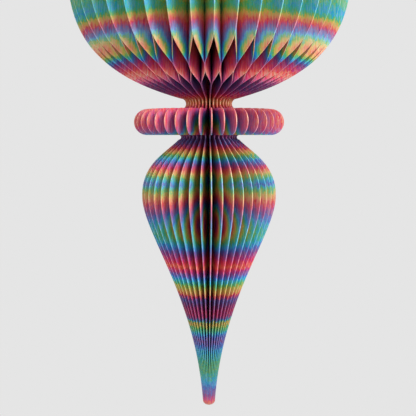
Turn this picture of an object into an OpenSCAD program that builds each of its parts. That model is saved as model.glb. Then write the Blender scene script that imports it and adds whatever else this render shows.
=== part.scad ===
// Folded paper finial: printed card leaves stand in a ring round a narrow open spine.
// Every leaf is one die-cut sheet, creased down its middle and glued back to back to its neighbours.
// The origin is at the top of the spine, where the finial hangs, and +Z is up.

/* [Leaves] */
// Number of folded sheets round the spine
leaf_count = 40; // [24:1:48]
// Thickness of the printed card
card_t = 0.35; // [0.2:0.05:0.5]
// Radius of the open spine inside the creases
spine_r = 1; // [0.6:0.1:2]

/* [Top lobe] */
// Largest radius of the top lobe
lobe_r = 110.7; // [102:0.1:125]
// Height of the crown above the lobe's widest level
crown_h = 86; // [65:1:110]
// Height of the belly from the widest level down to the waist
belly_h = 97.1; // [85:0.1:120]
// How far down the belly keeps close to its full radius
belly_fullness = 62.5; // [45:0.5:75]
// How far out the lobe's underside stays shallow
underside_reach = 46; // [30:1:60]
// How much that shallow underside rises outwards
underside_rise = 13; // [2:1:20]

/* [Waist] */
// Radius at the waist under the top lobe
waist_r = 18.3; // [12:0.1:24]
// Height of the rounded waist
waist_gap = 8.5; // [4:0.1:12]

/* [Collar ring] */
// Outer radius of the collar ring
ring_r = 59.6; // [45:0.1:75]
// Height of the collar ring, which has a fully rounded rim
ring_h = 20.4; // [14:0.1:28]

/* [Notch] */
// Radius at the small notch under the collar ring
notch_r = 22.3; // [14:0.1:26]
// Height of the notch
notch_gap = 3.6; // [2:0.1:6]

/* [Drop] */
// Largest radius of the lower drop
drop_r = 53.5; // [44:0.1:65]
// Height of the drop's shoulder down to its widest level
shoulder_h = 44.4; // [36:0.1:60]
// How far the shoulder slopes out and down before it turns upright
shoulder_flare = 11; // [6:0.1:14]
// How far above the widest level the shoulder is already close to upright
shoulder_fullness = 25; // [12:0.5:28]
// Height of the taper from the widest level down to the tip's rounded end
taper_h = 167.5; // [130:0.5:200]
// How far down the taper keeps close to its full radius
taper_fullness = 31; // [15:0.5:45]
// How far above the tip the taper is already slim
taper_slimness = 88.6; // [60:0.1:110]
// How far out the slim stretch of the taper leans
taper_lean = 6.6; // [3:0.1:12]
// Radius of the blunt tip
tip_r = 4.9; // [3.5:0.1:6]
// Height of the tip's rounded end
tip_round = 3.6; // [2:0.1:6]

/* [Glue bands of the top lobe] */
// Radius inside which neighbouring leaves are glued back to back
inner_band_r = 48.5; // [36:0.5:54]
// Radius at which the two halves of one leaf come together
middle_band_r = 65; // [60:0.5:68]
// Width of the band that glues the two halves of one leaf together
middle_band_w = 9; // [4:0.5:12]
// Radius outside which neighbouring leaves are glued back to back again
outer_band_r = 93; // [86:0.5:98]

/* [Hidden] */

// Angle from a leaf's middle plane to the plane that it shares with its neighbour
half_a = 180 / leaf_count;
// How far the section shapes run past the die-cut outline
past = 1;
// Straight pieces in each spread of the card between two glue bands
spread_steps = 3;
// How softly the card bends into a spread, from 0 for a straight run to 1
spread_softness = 0.15;
// Straight pieces in each curved stretch of the outline
crown_steps = 5;
belly_steps = 6;
waist_steps = 4;
rim_steps = 6;
notch_steps = 4;
shoulder_steps = 3;
taper_steps = 7;
// Handle length that makes a cubic curve follow a quarter ellipse
quarter_handle = 0.5523;

belly_z = -crown_h;
waist_top_z = belly_z - belly_h;
waist_z = waist_top_z - waist_gap / 2;
ring_top_z = waist_top_z - waist_gap;
ring_z = ring_top_z - ring_h / 2;
notch_z = ring_top_z - ring_h - notch_gap / 2;
drop_top_z = notch_z - notch_gap / 2;
drop_z = drop_top_z - shoulder_h;
tip_z = drop_z - taper_h;
bottom_z = tip_z - tip_round;

// Points of a cubic curve through four control points, without its first point
function curve(p, steps) = [
    for (i = [1 : steps])
        let (t = i / steps, u = 1 - t)
            u * u * u * p[0] + 3 * u * u * t * p[1] + 3 * u * t * t * p[2] + t * t * t * p[3]
];

// Point of an arc about a centre
function on_arc(centre, r, a) = centre + r * [cos(a), sin(a)];

// Quarter ellipse from the hanging point out to the lobe's widest level
function crown() = curve([
    [0, 0],
    [lobe_r * quarter_handle, 0],
    [lobe_r, belly_z * (1 - quarter_handle)],
    [lobe_r, belly_z]
], crown_steps);

// Full belly that turns in under the lobe to meet the waist
function belly() = let (end = [waist_r + waist_gap / 2, waist_top_z]) curve([
    [lobe_r, belly_z],
    [lobe_r, belly_z - belly_fullness],
    end + [underside_reach, underside_rise],
    end
], belly_steps);

// Rounded waist, after the point that it shares with the belly
function waist() = [
    for (i = [1 : waist_steps])
        on_arc([waist_r + waist_gap / 2, waist_z], waist_gap / 2, 90 + 180 * i / waist_steps)
];

// Fully rounded rim of the collar ring
function rim() = [
    for (i = [0 : rim_steps]) on_arc([ring_r - ring_h / 2, ring_z], ring_h / 2, 90 - 180 * i / rim_steps)
];

// Small rounded notch between the collar ring and the drop
function notch() = [
    for (i = [0 : notch_steps])
        on_arc([notch_r + notch_gap / 2, notch_z], notch_gap / 2, 90 + 180 * i / notch_steps)
];

// Round shoulder of the drop, which leaves the notch at an angle
function shoulder() = let (start = [notch_r + notch_gap / 2, drop_top_z]) curve([
    start,
    start + [shoulder_flare, -shoulder_flare],
    [drop_r, drop_z + shoulder_fullness],
    [drop_r, drop_z]
], shoulder_steps);

// Long taper from the drop's widest level to the tip's rounded end
function taper() = curve([
    [drop_r, drop_z],
    [drop_r, drop_z - taper_fullness],
    [tip_r + taper_lean, tip_z + taper_slimness],
    [tip_r, tip_z]
], taper_steps);

// Rounded end of the tip, which closes on the axis
function tip() = [[tip_r * cos(45), tip_z - tip_round * sin(45)], [0, bottom_z]];

// Die-cut outline of one half of a leaf, as [radius, height], from the top down
function leaf_outline() = concat(
    [[0, 0]], crown(), belly(), waist(), rim(), notch(), shoulder(), taper(), tip()
);

// Place of the card's middle in a half wedge: share 0 lies on the neighbour, 1 on the other half
function card_middle(x, share) = let (
    on_neighbour = -x * tan(half_a) + card_t / 2 / cos(half_a),
    on_other_half = -card_t / 2
) [x, on_neighbour * (1 - share) + on_other_half * share];

// Nearly straight spread of the card between two radii, from one share to another
function spread(x0, x1, share0, share1) = [
    for (i = [0 : spread_steps])
        let (w = i / spread_steps, eased = w - spread_softness * sin(360 * w) / (2 * PI))
            card_middle(x0 + (x1 - x0) * w, share0 + (share1 - share0) * eased)
];

// Start of every path, which runs flat on the neighbour until it is clear of the waist
function path_start() = [card_middle(0, 0), card_middle(waist_r + waist_gap / 2 + past, 0)];

// Path of the card's middle across the top lobe, from the spine outwards
function lobe_path() = concat(
    path_start(),
    spread(inner_band_r, middle_band_r, 0, 1),
    spread(middle_band_r + middle_band_w, outer_band_r, 1, 0),
    [card_middle(lobe_r + past, 0)]
);

// Straight path of the card's middle across the collar ring and the drop
function plain_path() = concat(path_start(), [card_middle(lobe_r + past, 0)]);

function left_of(a, b) = let (d = b - a) [-d[1], d[0]] / norm(d);

// Step from a path's point to one face of the card, mitred where the path bends
function face_step(path, i) = let (
    n0 = left_of(path[max(i - 1, 0)], path[max(i, 1)]),
    last = len(path) - 1,
    n1 = left_of(path[min(i, last - 1)], path[min(i + 1, last)])
) (n0 + n1) / (1 + n0 * n1);

// One face of the card beside its path, without the point at the spine
function card_face(path, offset) = [
    for (i = [1 : len(path) - 1]) path[i] + offset * face_step(path, i)
];

function reversed(points) = [for (i = [len(points) - 1 : -1 : 0]) points[i]];

// Level section of half a leaf: the crease at the spine, then the card along its path
module half_section(path) {
    crease_end = card_t / sin(half_a);
    polygon(concat(
        [[spine_r, 0], [spine_r, -spine_r * tan(half_a)]],
        card_face(path, -card_t / 2),
        reversed(card_face(path, card_t / 2)),
        [[crease_end, 0]]
    ));
}

module leaf_section(path) {
    half_section(path);
    mirror([0, 1]) half_section(path);
}

// The outline is cut through both halves at once, so each fin reaches its full radius
module die_cut() {
    wedge_w = 2 * (lobe_r + past) * tan(half_a) + 2 * past;
    rotate([90, 0, 0]) linear_extrude(wedge_w, center = true) scale([cos(half_a), 1])
        polygon(leaf_outline());
}

// Stretch of the folded sheet between two levels, cut to its outline
module cut_sheet(path, from_z, to_z) {
    intersection() {
        translate([0, 0, from_z]) linear_extrude(to_z - from_z) leaf_section(path);
        die_cut();
    }
}

// One folded sheet, with its crease at the spine, glue bands in the top lobe and plain fins below
module leaf() {
    color("mediumorchid") {
        cut_sheet(lobe_path(), waist_z, past);
        cut_sheet(plain_path(), bottom_z - past, waist_z);
    }
}

for (i = [0 : leaf_count - 1]) {
    rotate([0, 0, i * 2 * half_a]) leaf();
}
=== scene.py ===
import math

import bpy
import numpy as np
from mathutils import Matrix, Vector, geometry


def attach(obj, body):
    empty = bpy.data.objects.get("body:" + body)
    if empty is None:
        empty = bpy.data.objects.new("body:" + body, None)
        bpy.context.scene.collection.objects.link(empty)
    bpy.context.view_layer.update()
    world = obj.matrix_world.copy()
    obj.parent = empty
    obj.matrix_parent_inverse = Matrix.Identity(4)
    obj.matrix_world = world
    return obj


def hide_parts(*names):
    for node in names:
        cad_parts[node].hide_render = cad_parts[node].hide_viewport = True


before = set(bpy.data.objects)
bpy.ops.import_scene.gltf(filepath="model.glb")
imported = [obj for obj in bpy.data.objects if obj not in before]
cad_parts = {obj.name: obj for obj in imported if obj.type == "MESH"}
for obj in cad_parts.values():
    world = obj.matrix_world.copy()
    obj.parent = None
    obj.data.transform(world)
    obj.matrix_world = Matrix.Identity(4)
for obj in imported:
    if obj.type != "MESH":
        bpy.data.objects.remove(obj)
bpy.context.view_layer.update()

# Lengths are the real object's, in millimetres, and MM turns them into Blender's metres.
MM = 0.001

# The folded sheets, one for each node, and the angle from a sheet's middle plane to the plane that it
# shares with its neighbour
LEAF_NODES = sorted(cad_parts)
HALF_A = math.pi / len(LEAF_NODES)
# The card's thickness, the radius of the open spine, and the radius where the two inner faces meet
CARD_T = 0.35
SPINE_R = 1.0
CREASE_END = CARD_T / math.sin(HALF_A)

# The die-cut outline in the CAD leaf's own sizes, from the hanging point down: the top lobe and the waist
LOBE_R, CROWN_H, BELLY_H = 110.7, 86.0, 97.1
BELLY_FULLNESS, UNDERSIDE_REACH, UNDERSIDE_RISE = 62.5, 46.0, 13.0
WAIST_R, WAIST_GAP = 18.3, 8.5
# The collar ring and the notch under it
RING_R, RING_H = 59.6, 20.4
NOTCH_R, NOTCH_GAP = 22.3, 3.6
# The drop with its shoulder, its taper and its rounded tip
DROP_R, SHOULDER_H, SHOULDER_FLARE, SHOULDER_FULLNESS = 53.5, 44.4, 11.0, 25.0
TAPER_H, TAPER_FULLNESS, TAPER_SLIMNESS, TAPER_LEAN = 167.5, 31.0, 88.6, 6.6
TIP_R, TIP_ROUND = 4.9, 3.6
# Handle length that makes a cubic curve follow a quarter ellipse
QUARTER_HANDLE = 0.5523

# Radii of the glue bands in the top lobe, with the middle band's width
INNER_BAND_R, MIDDLE_BAND_R, MIDDLE_BAND_W, OUTER_BAND_R = 48.5, 65.0, 9.0, 93.0
# How softly the card bends into a spread between two bands, from 0 for a straight run to 1
SPREAD_SOFTNESS = 0.15

# Levels that follow from the sizes
BELLY_Z = -CROWN_H
WAIST_TOP_Z = BELLY_Z - BELLY_H
WAIST_Z = WAIST_TOP_Z - WAIST_GAP / 2
RING_TOP_Z = WAIST_TOP_Z - WAIST_GAP
RING_Z = RING_TOP_Z - RING_H / 2
RING_BOTTOM_Z = RING_TOP_Z - RING_H
DROP_TOP_Z = RING_BOTTOM_Z - NOTCH_GAP
DROP_Z = DROP_TOP_Z - SHOULDER_H
TIP_Z = DROP_Z - TAPER_H
BOTTOM_Z = TIP_Z - TIP_ROUND

# The photograph's width, and the camera's lens, distance from the axis, direction and height
PHOTO_PX = 416
FOCAL_PX = 930.2
SENSOR_MM = 36.0
CAMERA_DISTANCE = 744.0
CAMERA_AZIMUTH = math.radians(-87.6)
CAMERA_TILT = math.radians(4.487)
AXIS_PX_FROM_CENTRE = 1.0
CAMERA_Z = RING_BOTTOM_Z

# The sheet's mesh: the steps in each curved stretch of its outline, and the longest piece of that outline
CROWN_STEPS, BELLY_STEPS, WAIST_STEPS, RIM_STEPS = 30, 44, 12, 24
NOTCH_STEPS, SHOULDER_STEPS, TAPER_STEPS, TIP_STEPS = 8, 18, 44, 10
LONGEST_EDGE = 4.0
# Points inside the outline: how far they keep from it, and the gap between two in a column
EDGE_CLEAR, ROW_GAP = 1.2, 6.0
# Their columns: the first one's distance from the spine, the gap between two where the card spreads and
# where it is flat, and how far the close ones run past the spread
FIRST_COLUMN, CLOSE_COLUMNS, WIDE_COLUMNS, CLOSE_MARGIN = 3.0, 2.0, 5.0, 2.0
# Half the run over which the card's slope is measured, and the least angle of a sharp edge
SLOPE_STEP = 0.01
SHARP_ANGLE = math.radians(40)
# A margin for rounding, and the decimals to which two places count as one corner
TINY, PLACE_DIGITS = 1e-6, 5
# Blender's choice of the triangles inside an outline
TRIANGLES_INSIDE = 1

# The rainbow print, the same on every leaf. It starts with one place of the colour wheel all over the card,
# and each soft oval shifts it, as (centre radius, centre height, half width, half height, turns of the
# wheel). An oval with a half width of 90 or more is a band across the whole card, weaker towards the rim.
PRINT_START = 0.92
PRINT_OVALS = (
    # The crown, which the photograph doesn't show: bands like those below it
    (30, -9, 120, 7, 0.5),
    (30, -29, 120, 8, -0.6),
    (40, -50, 120, 9, 0.75),
    (60, -76, 120, 8, -0.65),
    # The lobe below its widest level
    (114, -105, 30, 8, 0.33),
    (110, -126, 16, 4, 0.14),
    (91, -112, 6, 4, 0.1),
    (69, -121, 7, 7, 0.2),
    (82, -144, 5, 4, 0.14),
    (83, -143, 7, 8, 0.07),
    (102, -134, 5, 4, 0.08),
    (94, -134.5, 16, 2.5, -0.1),
    (90, -141, 12, 3, -0.06),
    (105, -116, 22, 15, 0.32),
    (90, -120.5, 60, 6, 0.27),
    (72, -138, 30, 20, 0.22),
    (88, -149, 14, 13.5, -1.0),
    (36, -165, 17, 15, -0.3),
    (46, -167, 9, 4, -0.05),
    (64, -167, 11, 4, 0.14),
    # The waist and the collar ring
    (16, -186, 30, 4, 0.24),
    (52, -201, 16, 7, -0.11),
    (54, -190.5, 10, 3, 0.13),
    (61, -197, 4, 11, 0.25),
    (33, -204, 5, 3, 0.12),
    (30, -218.5, 10, 4, -0.2),
    (27, -203, 8, 5, 0.12),
    (42, -210, 12, 4, 0.2),
    (20, -215, 30, 5, -0.2),
    # The drop
    (0, -247, 90, 16, 1.36),
    (54, -246.5, 24, 4, 0.12),
    (33, -249, 8, 16, -0.12),
    (41, -246, 9, 4, -0.12),
    (51, -250, 11, 1.7, 0.16),
    (38, -231, 8, 6, 0.08),
    (37, -276, 8, 9, -0.09),
    (60, -266, 19, 40, 0.5),
    (0, -278, 90, 34, 0.65),
    (28, -281.5, 16, 13, -0.74),
    (24, -298, 8, 9, -0.09),
    # The taper and the tip
    (0, -315, 90, 16.5, 0.95),
    (0, -314.5, 90, 1.8, 0.14),
    (0, -323, 90, 4, -0.06),
    (0, -336.5, 90, 3, 0.1),
    (0, -341.5, 90, 3, -0.14),
    (0, -344, 90, 6, -0.2),
    (0, -361.5, 90, 2.6, -0.36),
    (0, -366, 90, 7, -0.5),
    (0, -372, 90, 6, 0.04),
    (0, -384, 90, 4, -0.05),
    (0, -399, 90, 22, -0.52),
    (0, -433, 90, 7, 0.28),
)
# Ovals of painted shade, where the colour is darker than elsewhere, and of painted light, where it is
# brighter, with the change in the colour's strength
PAINTED_LIGHT_AND_SHADE_OVALS = (
    (68, -124, 6, 12, -0.8),
    (43, -157, 10, 14, -1.05),
    (57, -143, 14, 7, -0.7),
    (54, -152, 9, 7, -0.35),
    (36, -166, 13, 8, -0.75),
    (51, -163, 6, 5, -0.3),
    (58, -170, 14, 7, 0.65),
    (22, -186, 12, 6, 0.45),
    (16, -200, 10, 12, -0.5),
    (26, -199, 5, 6, -0.45),
    (40, -203, 10, 8, -0.4),
    (50, -198, 12, 12, 0.12),
    (14, -276, 10, 18, -0.5),
    (0, -320, 90, 12, 0.25),
    (22, -350, 12, 12, -0.35),
    (0, -376, 5, 6, -0.5),
    (0, -402, 90, 42, -0.3),
    (0, -420, 90, 5, -0.12),
)
# Ovals of painted highlight, where more of the bare paper shows through the ink to make the card paler where
# the light is strong, with its added share
PAINTED_HIGHLIGHT_OVALS = (
    (112, -106, 16, 16, 0.16),
    (92, -140, 16, 9, 0.18),
    (62, -168, 16, 8, 0.07),
    (56, -200, 14, 14, 0.08),
    (54, -260, 14, 50, 0.1),
)
# Heights between which the colours run back one whole turn, through the collar ring
RING_TURN_FROM, RING_TURN_TO = -188.5, -212.0
# How much lower that turn lies at the ring's rim, and the radii between which it sinks
RIM_DELAY, RIM_DELAY_FROM, RIM_DELAY_TO = 14.0, 33.0, 55.0

# The colour wheel as (place, red, green, blue), with colours in screen values
COLOUR_WHEEL = (
    (0.00, 218, 66, 70),
    (0.10, 224, 130, 92),
    (0.20, 216, 168, 90),
    (0.27, 194, 180, 80),
    (0.33, 134, 180, 80),
    (0.39, 84, 176, 112),
    (0.46, 50, 178, 168),
    (0.54, 40, 168, 216),
    (0.62, 62, 116, 200),
    (0.70, 112, 94, 172),
    (0.77, 138, 68, 140),
    (0.85, 180, 54, 132),
    (0.93, 208, 44, 98),
    (1.00, 218, 66, 70),
)

# The ink runs up and down in fine streaks: their width, their length, how far they move it, and how far
# they wear it down to the paper
STREAK_W, STREAK_L, STREAK_REACH, STREAK_WEAR = 1.0, 8.0, 9.2, 0.6
# Small spots of a neighbouring colour: their width, their height and their reach in turns of the wheel
SPOT_W, SPOT_H, SPOT_REACH = 1.5, 1.8, 0.32
# Uneven ink: blotches for each millimetre, their least strength and the span above it
BLOTCH_SCALE, BLOTCH_FROM, BLOTCH_SPAN = 0.16, 0.85, 0.3

# Paper fibres: grains for each millimetre and their roughness, the surface's least roughness and the span
# above it, and the strength of the bumps
FIBRE_SCALE, FIBRE_ROUGHNESS = 2.4, 0.65
SHEEN_FROM, SHEEN_SPAN = 0.32, 0.3
BUMP_STRENGTH = 0.5
# The bare paper's colour, and the palest colour that the card takes anywhere
PAPER_COLOUR = (0.86, 0.83, 0.80, 1)
PALEST = (0.9, 0.9, 0.9)

# The card's two surfaces as (name, share of paper that shows, depth of the fibres in mm, least colour
# strength that the painted shade leaves)
SURFACES = (("printed_card", 0.02, 0.05, 0.03), ("cut_edge", 0.1, 0.08, 0.7))

# The light: the soft light's strength, the lamps' width in metres, and each lamp as (name, place in
# metres, watts)
SOFT_LIGHT = 0.68
LAMP_SIZE = 0.7
LAMPS = (("key_lamp", (0.8, -1.05, 0.35), 18), ("fill_lamp", (-1.33, -0.2, 0.35), 10))

# The pale surroundings, and the floor that turns into them between two radii
BACKGROUND = (0.7834, 0.7834, 0.7834, 1)
FLOOR_COLOUR = (0.75, 0.75, 0.75, 1)
FLOOR_ROUGHNESS = 0.9
FLOOR_Z, FLOOR_CORNERS = -850.0, 96
FLOOR_R, FLOOR_FADE_FROM, FLOOR_FADE_TO = 900.0, 330.0, 620.0


def curve(p0, p1, p2, p3, steps):
    """Points of a cubic curve through four control points, without its first point."""
    handles = (p0, p1, p2, p3)
    points = []
    for i in range(1, steps + 1):
        t = i / steps
        u = 1 - t
        weights = (u * u * u, 3 * u * u * t, 3 * u * t * t, t * t * t)
        points.append(tuple(sum(w * p[k] for w, p in zip(weights, handles)) for k in (0, 1)))
    return points


def arc(centre, radius, start, turn, steps, first=0):
    """Points of an arc, from step first on, with its angles in degrees."""
    angles = [math.radians(start + turn * i / steps) for i in range(first, steps + 1)]
    return [(centre[0] + radius * math.cos(a), centre[1] + radius * math.sin(a)) for a in angles]


def lobe_outline():
    """Outline of the top lobe and the waist as (radius, height), from the top down."""
    neck = (WAIST_R + WAIST_GAP / 2, WAIST_TOP_Z)
    crown = curve(
        (0, 0),
        (LOBE_R * QUARTER_HANDLE, 0),
        (LOBE_R, BELLY_Z * (1 - QUARTER_HANDLE)),
        (LOBE_R, BELLY_Z),
        CROWN_STEPS,
    )
    belly = curve(
        (LOBE_R, BELLY_Z),
        (LOBE_R, BELLY_Z - BELLY_FULLNESS),
        (neck[0] + UNDERSIDE_REACH, neck[1] + UNDERSIDE_RISE),
        neck,
        BELLY_STEPS,
    )
    waist = arc((neck[0], WAIST_Z), WAIST_GAP / 2, 90, 180, WAIST_STEPS, first=1)
    return [(0.0, 0.0)] + crown + belly + waist


def ring_outline():
    """Outline of the collar ring and the notch under it."""
    notch_centre = (NOTCH_R + NOTCH_GAP / 2, RING_BOTTOM_Z - NOTCH_GAP / 2)
    rim = arc((RING_R - RING_H / 2, RING_Z), RING_H / 2, 90, -180, RIM_STEPS)
    return rim + arc(notch_centre, NOTCH_GAP / 2, 90, 180, NOTCH_STEPS)


def drop_outline():
    """Outline of the drop, from the notch down to the point on the axis."""
    start = (NOTCH_R + NOTCH_GAP / 2, DROP_TOP_Z)
    shoulder = curve(
        start,
        (start[0] + SHOULDER_FLARE, start[1] - SHOULDER_FLARE),
        (DROP_R, DROP_Z + SHOULDER_FULLNESS),
        (DROP_R, DROP_Z),
        SHOULDER_STEPS,
    )
    taper = curve(
        (DROP_R, DROP_Z),
        (DROP_R, DROP_Z - TAPER_FULLNESS),
        (TIP_R + TAPER_LEAN, TIP_Z + TAPER_SLIMNESS),
        (TIP_R, TIP_Z),
        TAPER_STEPS,
    )
    tip = arc((0, TIP_Z), TIP_R, 0, -90, TIP_STEPS, first=1)
    return shoulder + taper + [(x, TIP_Z + (z - TIP_Z) * TIP_ROUND / TIP_R) for x, z in tip]


def filled(points, longest):
    """The same outline with points added on its long straight pieces."""
    result = [points[0]]
    for a, b in zip(points, points[1:]):
        pieces = max(1, math.ceil(math.dist(a, b) / longest))
        for i in range(1, pieces + 1):
            result.append(tuple(a[k] + (b[k] - a[k]) * i / pieces for k in (0, 1)))
    return result


def crossing(a, b, x):
    """Point where the piece from a to b has the distance x from the axis."""
    t = (x - a[0]) / (b[0] - a[0])
    return (x, a[1] + (b[1] - a[1]) * t)


def cut_line():
    """The die-cut outline in a leaf's middle plane as (x, z), from the spine at the top to its foot."""
    outline = filled(lobe_outline() + ring_outline() + drop_outline(), LONGEST_EDGE)
    points = [(r * math.cos(HALF_A), z) for r, z in outline]
    line = []
    for a, b in zip(points, points[1:]):
        low, high = sorted((a[0], b[0]))
        stops = [crossing(a, b, x) for x in (SPINE_R, CREASE_END) if low < x < high]
        line += [a] + sorted(stops, key=lambda p: math.dist(a, p))
    line.append(points[-1])
    return [p for p in line if p[0] >= SPINE_R - TINY]


def distance_to(line, p):
    """Distance of a point from a chain of straight pieces."""
    p = np.array(p)
    a = np.array(line[:-1])
    d = np.array(line[1:]) - a
    t = np.clip(((p - a) * d).sum(1) / (d * d).sum(1), 0, 1)
    return np.hypot(*(a + d * t[:, None] - p).T).min()


def column_places():
    """Distances from the axis of the columns of points, which stand close where the card spreads."""
    columns, x = [], SPINE_R + FIRST_COLUMN
    while x < LOBE_R:
        columns.append(x)
        spreads = INNER_BAND_R - CLOSE_MARGIN < x < OUTER_BAND_R + CLOSE_MARGIN
        x += CLOSE_COLUMNS if spreads else WIDE_COLUMNS
    return columns


def sheet_faces(line, start_x):
    """Triangles of points (x, z) over the cut outline from start_x outwards, and the spine's points."""
    edge = [p for p in line if p[0] >= start_x - TINY]
    (_, top), (_, bottom) = edge[0], edge[-1]
    steps = round((top - bottom) / ROW_GAP)
    spine = [(start_x, bottom + (top - bottom) * i / steps) for i in range(1, steps)]
    loop = edge + spine
    points = loop + inner_points(loop, start_x)
    around = list(range(len(loop)))[::-1]
    _, _, faces, origins, _, _ = geometry.delaunay_2d_cdt(
        [Vector(p) for p in points], [], [around], TRIANGLES_INSIDE, TINY
    )
    return [[points[origins[i][0]] for i in face] for face in faces], spine


def inner_points(loop, start_x):
    """Staggered points in the sheet, clear of its edge, so that it can bend."""
    closed = loop + [loop[0]]
    points = []
    for i, x in enumerate(column_places()):
        z = -ROW_GAP / 2 * (i % 2)
        while z > BOTTOM_Z:
            p = (x, z)
            if x > start_x + EDGE_CLEAR and inside(loop, p) and distance_to(closed, p) > EDGE_CLEAR:
                points.append(p)
            z -= ROW_GAP
    return points


def inside(loop, p):
    """Whether a point lies inside a closed outline."""
    hit = False
    for a, b in zip(loop, loop[1:] + loop[:1]):
        beside = (a[1] > p[1]) != (b[1] > p[1])
        if beside and p[0] < a[0] + (b[0] - a[0]) * (p[1] - a[1]) / (b[1] - a[1]):
            hit = not hit
    return hit


def eased(w):
    """Nearly straight rise from 0 to 1 with soft ends."""
    w = min(max(w, 0.0), 1.0)
    return w - SPREAD_SOFTNESS * math.sin(2 * math.pi * w) / (2 * math.pi)


def share_at(x, z):
    """0 where the card lies on the neighbouring leaf, and 1 where it lies on its own other half."""
    if z < WAIST_Z:
        return 0.0
    rise = eased((x - INNER_BAND_R) / (MIDDLE_BAND_R - INNER_BAND_R))
    middle_end = MIDDLE_BAND_R + MIDDLE_BAND_W
    return rise - eased((x - middle_end) / (OUTER_BAND_R - middle_end))


def middle_y(x, z):
    """Sideways place of the card's middle, in the half wedge of negative y."""
    share = share_at(x, z)
    on_neighbour = -x * math.tan(HALF_A) + CARD_T / 2 / math.cos(HALF_A)
    return on_neighbour * (1 - share) - CARD_T / 2 * share


def face_y(x, z, inner):
    """Sideways place of the card's outer or inner face."""
    slope = (middle_y(x + SLOPE_STEP, z) - middle_y(x - SLOPE_STEP, z)) / (2 * SLOPE_STEP)
    offset = CARD_T / 2 * math.hypot(1, slope)
    y = middle_y(x, z) + (offset if inner else -offset)
    return min(max(y, -x * math.tan(HALF_A)), 0.0)


def leaf_template():
    """One folded sheet about its own middle plane: corners, faces, and whether each face is a cut edge."""
    line = cut_line()
    outer, spine = sheet_faces(line, SPINE_R)
    inner, _ = sheet_faces(line, CREASE_END)
    numbers, places, faces, is_cut = {}, [], [], []

    def corner(side, x, z, on_inner):
        y = face_y(x, z, on_inner)
        # Both halves share the corners of the crease that lie on their middle plane
        half = 0 if x < CREASE_END + TINY and on_inner else side
        key = (half, on_inner, round(x, PLACE_DIGITS), round(z, PLACE_DIGITS))
        if key not in numbers:
            numbers[key] = len(places)
            places.append((x, -side * y, z))
        return numbers[key]

    def add_face(side, corners, cut):
        # The halves mirror each other, so the corners run the other way round on one of them
        faces.append(corners if side < 0 else corners[::-1])
        is_cut.append(cut)

    for side in (-1, 1):
        for face in outer:
            add_face(side, [corner(side, *p, False) for p in face], False)
        for face in inner:
            add_face(side, [corner(side, *p, True) for p in face[::-1]], False)
        loop = line + spine + line[:1]
        for i, (a, b) in enumerate(zip(loop, loop[1:])):
            around = ((a, False), (b, False), (b, True), (a, True))
            rim = [corner(side, *p, on_inner) for p, on_inner in around]
            add_face(side, rim, i < len(line) - 1)
    return np.array(places), faces, is_cut


def leaf_piece(node, places, faces, cut, materials):
    """Add the visible piece that stands for one leaf."""
    turn = 2 * HALF_A * LEAF_NODES.index(node)
    c, s = math.cos(turn), math.sin(turn)
    rotated = places @ np.array([[c, s, 0], [-s, c, 0], [0, 0, 1]])
    mesh = bpy.data.meshes.new("folded_" + node)
    mesh.from_pydata([tuple(p) for p in rotated * MM], [], faces)
    for material in materials:
        mesh.materials.append(material)
    mesh.polygons.foreach_set("material_index", [int(is_cut) for is_cut in cut])
    mesh.shade_smooth()
    mesh.set_sharp_from_angle(angle=SHARP_ANGLE)
    piece = bpy.data.objects.new("folded_" + node, mesh)
    bpy.context.scene.collection.objects.link(piece)
    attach(piece, "root")
    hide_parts(node)


def add_node(tree, kind, inputs=(), **settings):
    """Add a node with its settings. Its inputs are numbers, tuples or other nodes' outputs."""
    node = tree.nodes.new(kind)
    for name, value in settings.items():
        setattr(node, name, value)
    for key, value in dict(inputs).items():
        if isinstance(value, bpy.types.NodeSocket):
            tree.links.new(value, node.inputs[key])
        else:
            node.inputs[key].default_value = value
    return node


def maths(tree, operation, *values):
    """Result of an operation on numbers."""
    return add_node(tree, "ShaderNodeMath", enumerate(values), operation=operation).outputs[0]


def ramp(tree, value, low, high, new_low, new_high):
    """Soft step of a value from one range to another."""
    inputs = {0: value, 1: low, 2: high, 3: new_low, 4: new_high}
    return add_node(tree, "ShaderNodeMapRange", inputs, interpolation_type="SMOOTHSTEP").outputs[0]


def vector_maths(tree, operation, a, b):
    """Result of an operation on two vectors."""
    return add_node(tree, "ShaderNodeVectorMath", {0: a, 1: b}, operation=operation).outputs[0]


def scaled(tree, vector, factor):
    """A vector or colour times a number."""
    return add_node(tree, "ShaderNodeVectorMath", {0: vector, "Scale": factor}, operation="SCALE").outputs[0]


def noise_of(tree, vector, scale, detail, roughness=0.5):
    """Noise from 0 to 1."""
    inputs = {"Vector": vector, "Scale": scale, "Detail": detail, "Roughness": roughness}
    return add_node(tree, "ShaderNodeTexNoise", inputs).outputs["Fac"]


def grains(tree, place, width, length):
    """Three independent noises about 0, with grains of a width and an upright length."""
    spot = vector_maths(tree, "MULTIPLY", place, (1 / width, 1 / width, 1 / length))
    noise = add_node(tree, "ShaderNodeTexNoise", {"Vector": spot, "Scale": 1, "Detail": 2}).outputs["Color"]
    centred = vector_maths(tree, "SUBTRACT", noise, (0.5, 0.5, 0.5))
    return add_node(tree, "ShaderNodeSeparateXYZ", {0: centred}).outputs


def place_in_mm(tree):
    """Place on the piece in millimetres."""
    return scaled(tree, add_node(tree, "ShaderNodeTexCoord").outputs["Object"], 1 / MM)


def with_ovals(tree, spot, value, ovals):
    """A value with a soft oval bump added round each oval's centre."""
    for centre_r, centre_z, half_w, half_h, change in ovals:
        inputs = {"Vector": spot, "Location": (centre_r, centre_z, 0), "Scale": (half_w, half_h, 1)}
        away = add_node(tree, "ShaderNodeMapping", inputs, vector_type="TEXTURE").outputs[0]
        squared = add_node(tree, "ShaderNodeVectorMath", {0: away, 1: away}, operation="DOT_PRODUCT")
        bump = maths(tree, "POWER", math.exp(-1), squared.outputs["Value"])
        value = maths(tree, "MULTIPLY_ADD", bump, change, value)
    return value


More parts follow.
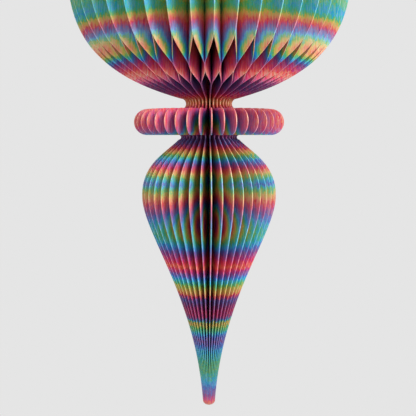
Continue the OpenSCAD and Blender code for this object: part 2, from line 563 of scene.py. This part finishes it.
def print_ink(tree, place, streak, least_painted_light_and_shade):
    """Colour of the rainbow print, its painted shade and light, and its painted highlight paleness, by the
    distance from the axis and the height.
    """
    x, y, z = add_node(tree, "ShaderNodeSeparateXYZ", {0: place}).outputs
    radius = maths(tree, "SQRT", maths(tree, "MULTIPLY_ADD", y, y, maths(tree, "MULTIPLY", x, x)))
    height = maths(tree, "MULTIPLY_ADD", streak, STREAK_REACH, z)
    spot = add_node(tree, "ShaderNodeCombineXYZ", {0: radius, 1: height}).outputs[0]
    delayed = maths(tree, "ADD", height, ramp(tree, radius, RIM_DELAY_FROM, RIM_DELAY_TO, 0, RIM_DELAY))
    turns = ramp(tree, delayed, RING_TURN_FROM, RING_TURN_TO, PRINT_START, PRINT_START - 1)
    turns = maths(tree, "MULTIPLY_ADD", grains(tree, place, SPOT_W, SPOT_H)[0], SPOT_REACH, turns)
    turns = with_ovals(tree, spot, turns, PRINT_OVALS)
    # Painted shade and light: a factor that darkens the print in the shaded ovals and brightens it in the
    # lit ones, never below the least strength
    painted_light_and_shade = maths(tree, "MAXIMUM", with_ovals(tree, spot, 1, PAINTED_LIGHT_AND_SHADE_OVALS), least_painted_light_and_shade)
    return wheel_colour(tree, turns), painted_light_and_shade, with_ovals(tree, spot, 0, PAINTED_HIGHLIGHT_OVALS)


def wheel_colour(tree, turns):
    """Colour at a number of turns of the wheel."""
    wheel = add_node(tree, "ShaderNodeValToRGB", {0: maths(tree, "FRACT", turns)})
    stops = wheel.color_ramp.elements
    for place, *_ in COLOUR_WHEEL[1:-1]:
        stops.new(place)
    for stop, (place, *colour) in zip(stops, COLOUR_WHEEL):
        stop.position = place
        stop.color = (*(linear(c) for c in colour), 1)
    return wheel.outputs[0]


def linear(value):
    """Linear strength of a screen value from 0 to 255."""
    value = value / 255
    return value / 12.92 if value < 0.04045 else ((value + 0.055) / 1.055) ** 2.4


def card_colour(tree, place, paleness, least_painted_light_and_shade):
    """The rainbow print with streaks of wear and uneven ink, mixed with bare paper by the paleness and the
    painted highlight, and darkened by painted shade or brightened by painted light.
    """
    streaks = grains(tree, place, STREAK_W, STREAK_L)
    ink, painted_light_and_shade, painted_highlight = print_ink(tree, place, streaks[0], least_painted_light_and_shade)
    blotches = noise_of(tree, place, BLOTCH_SCALE, 3)
    # The share of bare paper: the streaks' wear, the surface's paleness, and the painted highlight paleness
    wear_and_painted_highlight = maths(tree, "MULTIPLY_ADD", streaks[1], STREAK_WEAR, maths(tree, "ADD", painted_highlight, paleness))
    showing = maths(tree, "MULTIPLY", maths(tree, "MAXIMUM", wear_and_painted_highlight, 0), painted_light_and_shade)
    # The node's inputs 6 and 7 are its two colours, and its output 2 is the mixed colour
    inputs = {0: showing, 6: ink, 7: PAPER_COLOUR}
    mixed = add_node(tree, "ShaderNodeMix", inputs, data_type="RGBA").outputs[2]
    # The colour is scaled by the painted shade and light and by the uneven ink
    depth = maths(tree, "MULTIPLY", painted_light_and_shade, maths(tree, "MULTIPLY_ADD", blotches, BLOTCH_SPAN, BLOTCH_FROM))
    return vector_maths(tree, "MINIMUM", scaled(tree, mixed, depth), PALEST)


def card_material(name, paleness, fibre_depth, least_painted_light_and_shade):
    """Printed card with the bumps and the sheen of its paper fibres."""
    material = bpy.data.materials.new(name)
    material.use_nodes = True
    tree = material.node_tree
    shader = tree.nodes["Principled BSDF"]
    place = place_in_mm(tree)
    fibres = noise_of(tree, place, FIBRE_SCALE, 4, FIBRE_ROUGHNESS)
    inputs = {"Height": fibres, "Strength": BUMP_STRENGTH, "Distance": fibre_depth * MM}
    bump = add_node(tree, "ShaderNodeBump", inputs).outputs[0]
    roughness = maths(tree, "MULTIPLY_ADD", fibres, SHEEN_SPAN, SHEEN_FROM)
    tree.links.new(card_colour(tree, place, paleness, least_painted_light_and_shade), shader.inputs["Base Color"])
    tree.links.new(roughness, shader.inputs["Roughness"])
    tree.links.new(bump, shader.inputs["Normal"])
    return material


def add_camera():
    """Camera level with the collar ring's lower edge, tilted down a little as in the photograph."""
    data = bpy.data.cameras.new("camera")
    data.sensor_width = SENSOR_MM
    data.lens = SENSOR_MM * FOCAL_PX / PHOTO_PX
    data.clip_start = 0.01
    camera = bpy.data.objects.new("camera", data)
    x, y = CAMERA_DISTANCE * math.cos(CAMERA_AZIMUTH), CAMERA_DISTANCE * math.sin(CAMERA_AZIMUTH)
    camera.location = (x * MM, y * MM, CAMERA_Z * MM)
    aside = math.atan(AXIS_PX_FROM_CENTRE / FOCAL_PX)
    camera.rotation_euler = (math.pi / 2 - CAMERA_TILT, 0, CAMERA_AZIMUTH + math.pi / 2 + aside)
    bpy.context.scene.collection.objects.link(camera)
    bpy.context.scene.camera = camera


def add_lamp(name, place, power):
    """Round soft lamp that points at the collar ring."""
    data = bpy.data.lights.new(name, "AREA")
    data.shape = "DISK"
    data.size = LAMP_SIZE
    data.energy = power
    lamp = bpy.data.objects.new(name, data)
    lamp.location = place
    target = Vector((0, 0, RING_Z * MM))
    lamp.rotation_euler = (target - lamp.location).to_track_quat("-Z", "Y").to_euler()
    bpy.context.scene.collection.objects.link(lamp)


def background_ray(tree):
    """1 for a ray that shows the surroundings, and 0 for one that lights the object."""
    path = add_node(tree, "ShaderNodeLightPath").outputs
    seen = maths(tree, "MAXIMUM", path["Is Camera Ray"], path["Is Glossy Ray"])
    return maths(tree, "MAXIMUM", seen, path["Is Transmission Ray"])


def floor_material():
    """Pale matt floor that turns into the surroundings' own grey further out."""
    material = bpy.data.materials.new("floor")
    material.use_nodes = True
    tree = material.node_tree
    shader = tree.nodes["Principled BSDF"]
    shader.inputs["Base Color"].default_value = FLOOR_COLOUR
    shader.inputs["Roughness"].default_value = FLOOR_ROUGHNESS
    place = add_node(tree, "ShaderNodeTexCoord").outputs["Object"]
    level = vector_maths(tree, "MULTIPLY", place, (1, 1, 0))
    radius = add_node(tree, "ShaderNodeVectorMath", {0: level}, operation="LENGTH").outputs["Value"]
    far = ramp(tree, radius, FLOOR_FADE_FROM * MM, FLOOR_FADE_TO * MM, 0, 1)
    glow = add_node(tree, "ShaderNodeEmission", {"Color": BACKGROUND}).outputs[0]
    share = maths(tree, "MULTIPLY", far, background_ray(tree))
    mix = add_node(tree, "ShaderNodeMixShader", {0: share, 1: shader.outputs[0], 2: glow}).outputs[0]
    tree.links.new(mix, tree.nodes["Material Output"].inputs["Surface"])
    return material


def add_floor():
    """Round floor that takes the object's shadow."""
    around = [2 * math.pi * i / FLOOR_CORNERS for i in range(FLOOR_CORNERS)]
    rim = [(FLOOR_R * MM * math.cos(a), FLOOR_R * MM * math.sin(a), FLOOR_Z * MM) for a in around]
    mesh = bpy.data.meshes.new("floor")
    mesh.from_pydata(rim, [], [list(range(len(rim)))])
    mesh.materials.append(floor_material())
    floor = bpy.data.objects.new("floor", mesh)
    bpy.context.scene.collection.objects.link(floor)


def set_world():
    """Soft light from all round, with a pale grey where the camera looks past the object."""
    world = bpy.data.worlds.new("studio")
    world.use_nodes = True
    bpy.context.scene.world = world
    tree = world.node_tree
    tree.nodes.clear()
    seen = add_node(tree, "ShaderNodeBackground", {"Color": BACKGROUND}).outputs[0]
    lit = add_node(tree, "ShaderNodeBackground", {"Color": (1, 1, 1, 1), "Strength": SOFT_LIGHT}).outputs[0]
    mix = add_node(tree, "ShaderNodeMixShader", {0: background_ray(tree), 1: lit, 2: seen}).outputs[0]
    add_node(tree, "ShaderNodeOutputWorld", {"Surface": mix})


bpy.context.scene.view_settings.view_transform = "Standard"
add_camera()
set_world()
add_floor()
for lamp in LAMPS:
    add_lamp(*lamp)

leaf_places, leaf_faces, leaf_cut = leaf_template()
card_materials = [card_material(*surface) for surface in SURFACES]
for leaf_node in LEAF_NODES:
    leaf_piece(leaf_node, leaf_places, leaf_faces, leaf_cut, card_materials)
